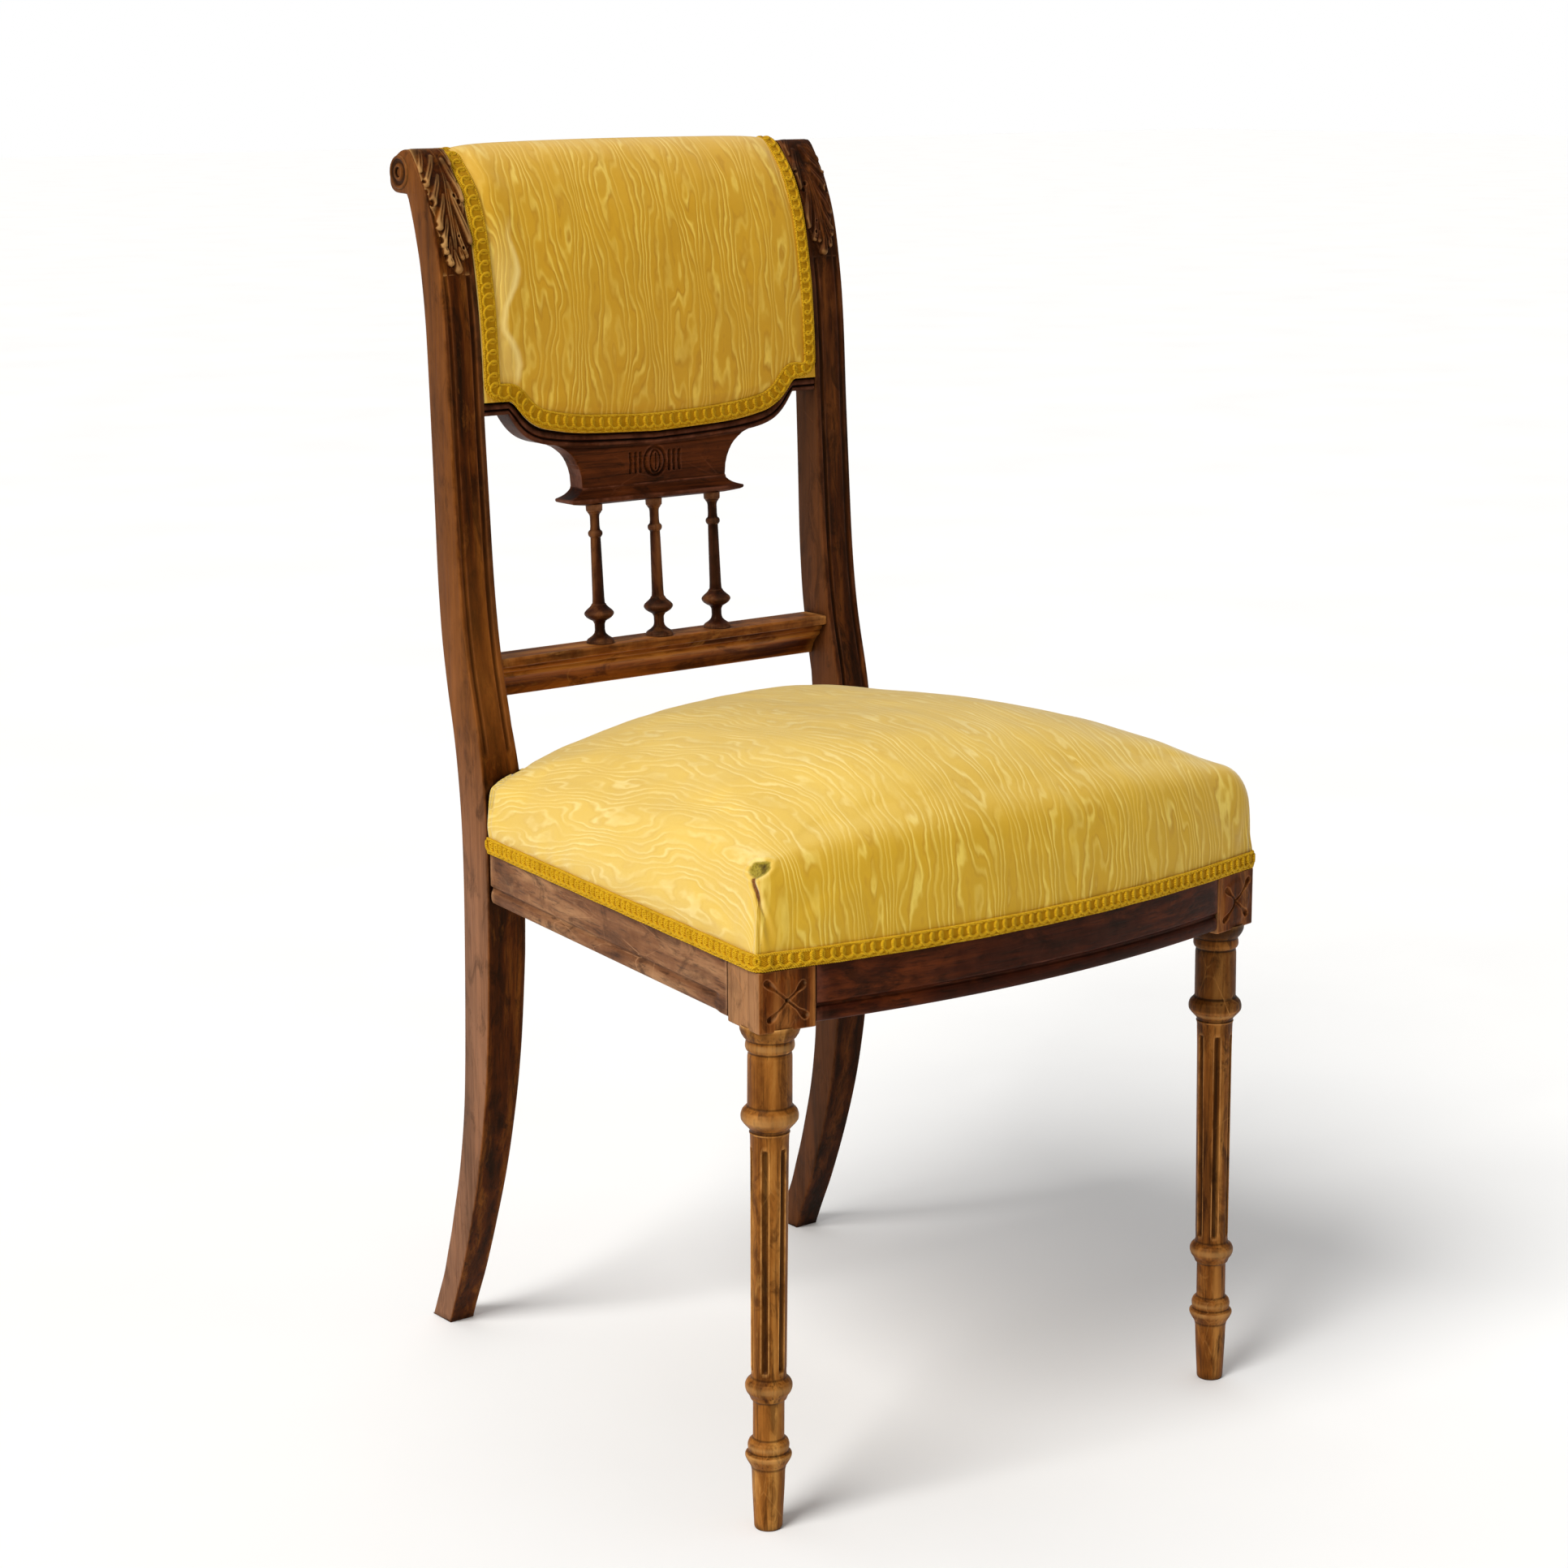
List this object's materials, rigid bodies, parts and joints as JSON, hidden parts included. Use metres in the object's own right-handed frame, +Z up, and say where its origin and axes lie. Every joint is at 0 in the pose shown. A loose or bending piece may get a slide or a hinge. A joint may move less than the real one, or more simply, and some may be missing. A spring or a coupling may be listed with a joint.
{
  "type": "upholstered side chair",
  "caption": "Upholstered side chair with scrolled sabre back posts, turned spindles under a padded back panel, fluted front legs and a stuffed-over bow-fronted seat.",
  "frame": {"origin": "on the floor, under the middle of the chair's width and depth", "axes": "+X to the right as seen from the front, +Y towards the back, +Z up; the seat's front faces -Y"},
  "size_m": [0.4574, 0.5282, 0.916],
  "materials": {
    "walnut": "waxed and french polished, semi-gloss",
    "beech": "raw, unfinished",
    "steel_screws": "dull zinc",
    "gold_moire": "watered silk moire, slight sheen",
    "gimp_braid": "woven looped gimp",
    "jute_webbing": "coarse woven strap",
    "hessian": "open plain weave",
    "stuffing": "curled hair under calico"
  },
  "bodies": {
    "root": {"back_bottom_rail": "walnut", "back_cover": "gold_moire", "back_gimp": "gimp_braid", "back_rail_dowels": "beech", "back_seat_rail": "walnut", "back_stuffing": "stuffing", "back_top_rail": "beech", "back_web_left": "jute_webbing", "back_web_right": "jute_webbing", "corner_brace_back_left": "beech", "corner_brace_back_right": "beech", "corner_brace_front_left": "beech", "corner_brace_front_right": "beech", "corner_brace_screws": "steel_screws", "front_leg_left": "walnut", "front_leg_right": "walnut", "front_seat_rail": "walnut", "lower_back_rail": "walnut", "outside_back_cover": "gold_moire", "rear_post_left": "walnut", "rear_post_right": "walnut", "seat_cover": "gold_moire", "seat_gimp": "gimp_braid", "seat_gimp_back": "gimp_braid", "seat_hessian": "hessian", "seat_rail_dowels": "beech", "seat_stuffing": "stuffing", "seat_web_cross_1": "jute_webbing", "seat_web_cross_2": "jute_webbing", "seat_web_cross_3": "jute_webbing", "seat_web_long_1": "jute_webbing", "seat_web_long_2": "jute_webbing", "seat_web_long_3": "jute_webbing", "side_seat_rail_left": "walnut", "side_seat_rail_right": "walnut", "spindle_left": "walnut", "spindle_middle": "walnut", "spindle_right": "walnut", "splat_block": "walnut", "splat_foot_moulding": "walnut"}
  },
  "joints": []
}
